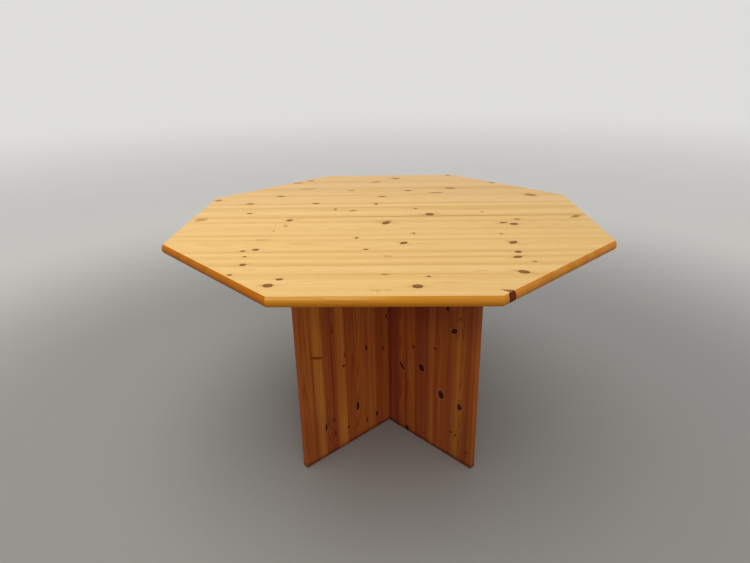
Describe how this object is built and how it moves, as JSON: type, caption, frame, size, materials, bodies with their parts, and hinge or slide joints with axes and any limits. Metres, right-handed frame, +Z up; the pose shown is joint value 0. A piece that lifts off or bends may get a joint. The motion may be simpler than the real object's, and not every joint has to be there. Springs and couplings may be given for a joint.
{
  "type": "extending dining table",
  "caption": "Octagonal pine dining table whose split top slides apart on wooden runners over a crossed-board pedestal, with a loose leaf stored under the top.",
  "frame": {"origin": "on the floor, under the middle of the crossed boards and of the closed top", "axes": "+Z up; X along the split and the grain of the top; -Y the front half, +Y the rear half"},
  "size_m": [1.21, 1.21, 0.737],
  "materials": {
    "top_pine": "honey-coloured knotty pine, satin varnish",
    "panel_pine": "red-brown stained knotty pine, satin varnish",
    "frame_beech": "planed beech, waxed",
    "dowel_beech": "turned beech, bare",
    "glide_nylon": "moulded nylon",
    "zinc_steel": "zinc-plated"
  },
  "bodies": {
    "base": {"base_panel_a": "panel_pine", "base_panel_b": "panel_pine", "floor_glides": "glide_nylon", "front_bearer": "frame_beech", "rear_bearer": "frame_beech", "left_rail": "frame_beech", "right_rail": "frame_beech", "angle_brackets": "zinc_steel", "bracket_screws": "zinc_steel", "rail_screws": "zinc_steel"},
    "front_half": {"top_front": "top_pine", "front_left_cleat": "frame_beech", "front_right_cleat": "frame_beech", "front_left_runner": "frame_beech", "front_right_runner": "frame_beech", "front_left_stop": "frame_beech", "front_right_stop": "frame_beech", "front_dowels": "dowel_beech", "front_cleat_screws": "zinc_steel", "front_runner_screws": "zinc_steel", "front_stop_screws": "zinc_steel"},
    "rear_half": {"top_rear": "top_pine", "rear_left_cleat": "frame_beech", "rear_right_cleat": "frame_beech", "rear_left_runner": "frame_beech", "rear_right_runner": "frame_beech", "rear_left_stop": "frame_beech", "rear_right_stop": "frame_beech", "rear_cleat_screws": "zinc_steel", "rear_runner_screws": "zinc_steel", "rear_stop_screws": "zinc_steel"},
    "leaf": {"leaf": "top_pine", "leaf_dowels": "dowel_beech"}
  },
  "joints": [
    {"name": "front_half_slide", "type": "slide", "parent": "base", "child": "front_half", "axis": [0, -1, 0], "range_m": [0, 0.205]},
    {"name": "rear_half_slide", "type": "slide", "parent": "base", "child": "rear_half", "axis": [0, 1, 0], "range_m": [0, 0.205]},
    {"name": "leaf_slide", "type": "slide", "parent": "base", "child": "leaf", "axis": [1, 0, 0], "range_m": [0, 1.22]}
  ]
}
